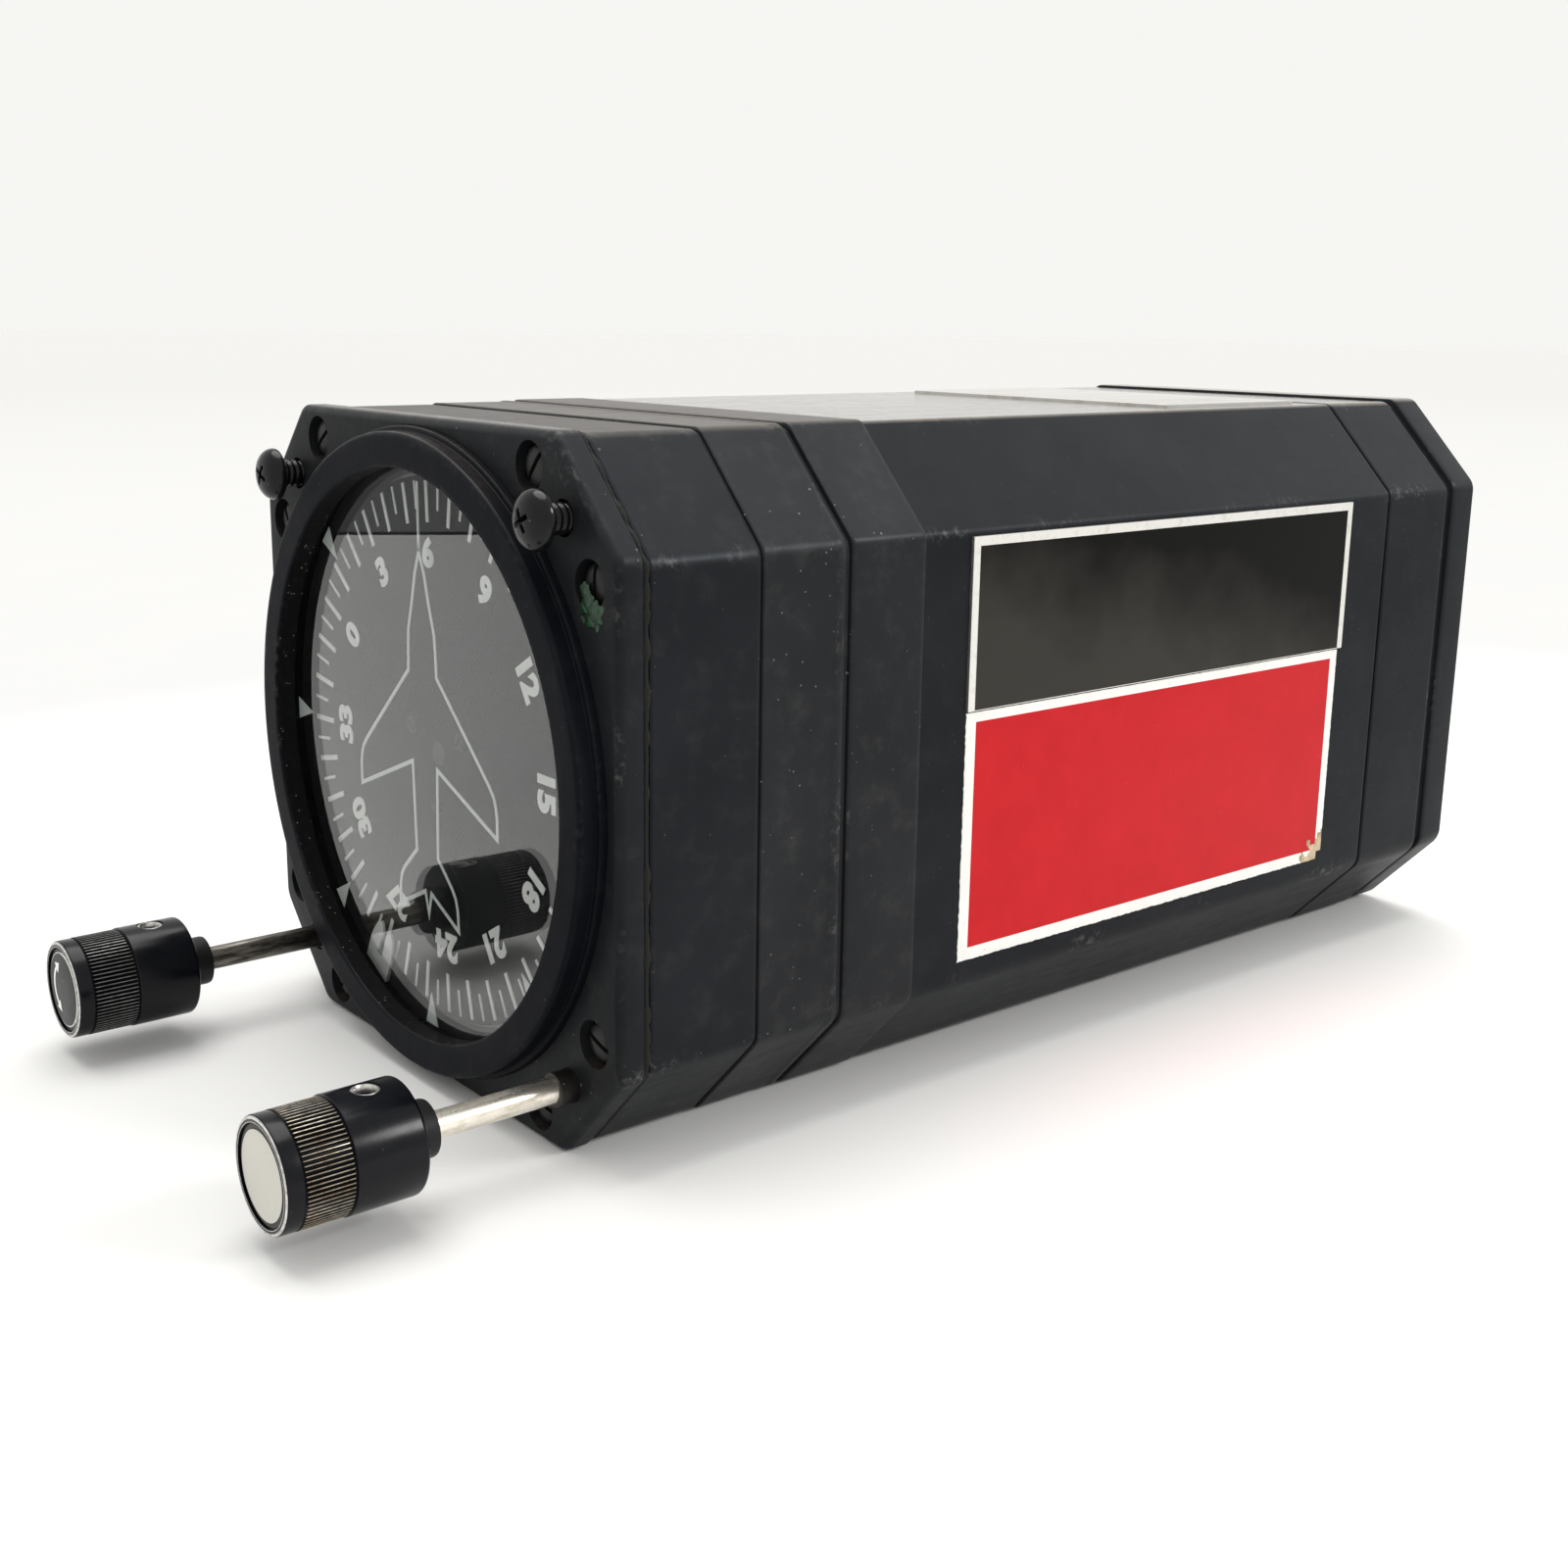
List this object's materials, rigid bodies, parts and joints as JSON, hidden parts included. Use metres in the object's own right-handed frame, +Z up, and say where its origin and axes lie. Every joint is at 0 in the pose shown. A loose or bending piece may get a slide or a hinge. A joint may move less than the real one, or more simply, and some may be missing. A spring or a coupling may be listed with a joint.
{
  "type": "directional gyro indicator",
  "caption": "Air-driven directional gyro indicator for an aircraft panel, with a turning card, heading bug, push-in set knob and gimballed rotor in a long black case",
  "frame": {"origin": "centre of the mounting flange's front face, which bears on the rear of the panel", "axes": "+X right as the pilot sees it, +Y rearwards along the case, +Z up"},
  "size_m": [0.0828, 0.1945, 0.0809],
  "materials": {
    "case_paint": "satin black paint with fine grain, dust and worn shiny edges",
    "cover_glass": "clear glass, slightly grey",
    "black_rubber": "black gasket",
    "white_print": "matt white print",
    "dark_screw": "blackened steel screws",
    "black_screw": "glossy black screws",
    "sealant": "rough black sealant",
    "placard_black": "black plate with a pale border",
    "decal_red": "red film with a white border",
    "data_plate": "pale brushed plate",
    "brass": "plain brass",
    "bright_steel": "bright steel",
    "shaft_steel": "worn nickel steel",
    "dark_bushing": "darkened bronze",
    "inner_alloy": "machined alloy",
    "dial_black": "matt black dial",
    "knob_black": "black anodised, worn on the knurl",
    "cream_disc": "cream disc",
    "metal_disc": "silver disc with a dark plain mark"
  },
  "bodies": {
    "case": {"mounting_flange": "case_paint", "bezel_ring": "case_paint", "cover_glass": "cover_glass", "glass_gasket": "black_rubber", "glass_markings": "white_print", "flange_screws": "dark_screw", "panel_screws": "black_screw", "sealant_bead": "sealant", "front_body": "case_paint", "front_case_gasket": "black_rubber", "centre_body": "case_paint", "rear_housing": "case_paint", "rear_cap_gasket": "black_rubber", "rear_cap": "case_paint", "case_bolts": "dark_screw", "caution_placard": "placard_black", "notice_decal": "decal_red", "top_data_plate": "data_plate", "air_inlet_port": "brass", "inlet_screen": "bright_steel", "vacuum_port": "brass", "shaft_bushings": "dark_bushing", "dial_plate": "inner_alloy", "movement_screws": "bright_steel", "movement_pillars": "brass", "rear_movement_plate": "inner_alloy", "gimbal_frame": "inner_alloy", "frame_screws": "bright_steel", "azimuth_bearings": "bright_steel", "set_return_spring": "bright_steel"},
    "dial_card": {"dial_card": "dial_black", "card_markings": "white_print", "card_shaft": "bright_steel", "card_gear": "brass"},
    "bug_ring": {"bug_ring": "dial_black"},
    "bug_idler": {"bug_idler_gear": "brass"},
    "bug_knob": {"bug_shaft": "shaft_steel", "bug_pinion": "brass", "bug_retaining_collar": "bright_steel", "bug_knob": "knob_black", "bug_knob_disc": "cream_disc", "bug_knob_set_screw": "bright_steel"},
    "set_slide": {"set_spring_washer": "bright_steel"},
    "set_knob": {"set_shaft": "shaft_steel", "set_pinion": "brass", "set_knob": "knob_black", "set_knob_disc": "metal_disc", "set_knob_set_screw": "bright_steel"},
    "set_idler": {"set_idler_gear": "brass"},
    "lay_shaft": {"lay_shaft": "bright_steel", "lay_front_gear": "brass", "lay_rear_pinion": "brass"},
    "outer_gimbal": {"outer_gimbal": "inner_alloy", "azimuth_gear": "brass", "tilt_bearings": "bright_steel"},
    "inner_gimbal": {"rotor_housing": "inner_alloy", "rotor_housing_cover": "inner_alloy", "rotor_bearings": "bright_steel"},
    "rotor": {"rotor": "brass", "rotor_shaft": "bright_steel"}
  },
  "joints": [
    {"name": "set_push", "type": "slide", "parent": "case", "child": "set_slide", "axis": [0, 1, 0], "range_m": [0, 0.0045], "stiffness_N_per_m": 350, "springref_m": -0.002, "deforming": ["set_return_spring"]},
    {"name": "set_turn", "type": "hinge", "parent": "set_slide", "child": "set_knob", "pos_m": [-0.03143, 0, -0.03143], "axis": [0, 1, 0], "continuous": true},
    {"name": "bug_ring_turn", "type": "hinge", "parent": "case", "child": "bug_ring", "pos_m": [0, 0.005, 0], "axis": [0, 1, 0], "continuous": true},
    {"name": "bug_idler_turn", "type": "hinge", "parent": "case", "child": "bug_idler", "pos_m": [0.02774, 0.0058, -0.02774], "axis": [0, 1, 0], "continuous": true},
    {"name": "bug_turn", "type": "hinge", "parent": "case", "child": "bug_knob", "pos_m": [0.03143, 0, -0.03143], "axis": [0, 1, 0], "continuous": true},
    {"name": "outer_gimbal_turn", "type": "hinge", "parent": "case", "child": "outer_gimbal", "pos_m": [0, 0.09, 0.0065], "axis": [0, 0, 1], "continuous": true},
    {"name": "lay_shaft_turn", "type": "hinge", "parent": "case", "child": "lay_shaft", "pos_m": [0, 0.04, -0.0295], "axis": [0, 1, 0], "continuous": true},
    {"name": "card_turn", "type": "hinge", "parent": "case", "child": "dial_card", "pos_m": [0, 0.008, 0], "axis": [0, 1, 0], "continuous": true},
    {"name": "set_idler_turn", "type": "hinge", "parent": "case", "child": "set_idler", "pos_m": [-0.02279, 0.011, -0.02279], "axis": [0, 1, 0], "continuous": true},
    {"name": "inner_gimbal_tilt", "type": "hinge", "parent": "outer_gimbal", "child": "inner_gimbal", "pos_m": [0, 0.09, 0.0065], "axis": [1, 0, 0], "range_deg": [-55, 55]},
    {"name": "rotor_spin", "type": "hinge", "parent": "inner_gimbal", "child": "rotor", "pos_m": [0, 0.09, 0.0065], "axis": [0, 1, 0], "continuous": true}
  ],
  "couplings": [
    {"joint": "bug_idler_turn", "follows": "bug_ring_turn", "ratio": -13.273},
    {"joint": "bug_turn", "follows": "bug_ring_turn", "ratio": 14.6},
    {"joint": "lay_shaft_turn", "follows": "outer_gimbal_turn", "ratio": 3.2143},
    {"joint": "card_turn", "follows": "outer_gimbal_turn", "ratio": -1},
    {"joint": "set_idler_turn", "follows": "outer_gimbal_turn", "ratio": 2.3077}
  ]
}
